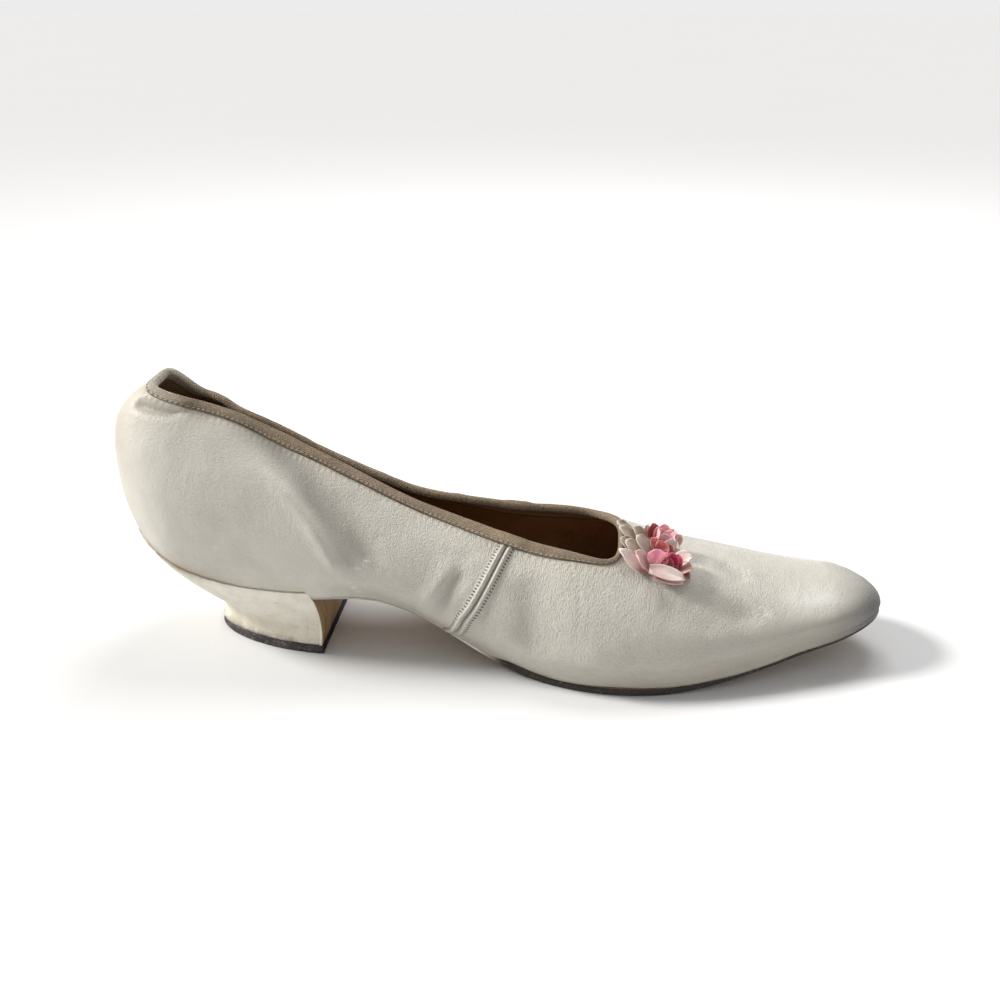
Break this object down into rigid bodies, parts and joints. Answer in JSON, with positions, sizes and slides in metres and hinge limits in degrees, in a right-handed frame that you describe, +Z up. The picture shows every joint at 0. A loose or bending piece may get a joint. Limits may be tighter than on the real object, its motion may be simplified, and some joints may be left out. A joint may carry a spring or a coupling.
{
  "type": "women's pump",
  "caption": "Low-heeled white kid pump with a deep slack opening bound in tape, an almond toe, a thin sole, a curved covered heel and small cloth roses at the throat.",
  "frame": {"origin": "middle of the base of the shoe's bounding box, on the floor", "axes": "+X towards the toe, +Y towards the inner (medial) side, +Z up"},
  "size_m": [0.2478, 0.0726, 0.0854],
  "materials": {
    "white_kid": "soft white kid, slightly glossy, soiled",
    "woven_tape": "beige woven tape, matte",
    "sock_lining": "worn brown sock, matte",
    "sole_leather": "tanned sole leather, dark at the edge",
    "lift_leather": "dark worn heel leather",
    "heel_kid": "white kid cover, yellowed",
    "rose_cloth": "pink gathered cloth, matte"
  },
  "bodies": {
    "root": {"upper": "white_kid", "binding": "woven_tape", "insole": "sock_lining", "outsole": "sole_leather", "heel": "heel_kid", "heel_lift": "lift_leather", "rose_far": "rose_cloth", "rose_near": "rose_cloth"}
  },
  "joints": []
}
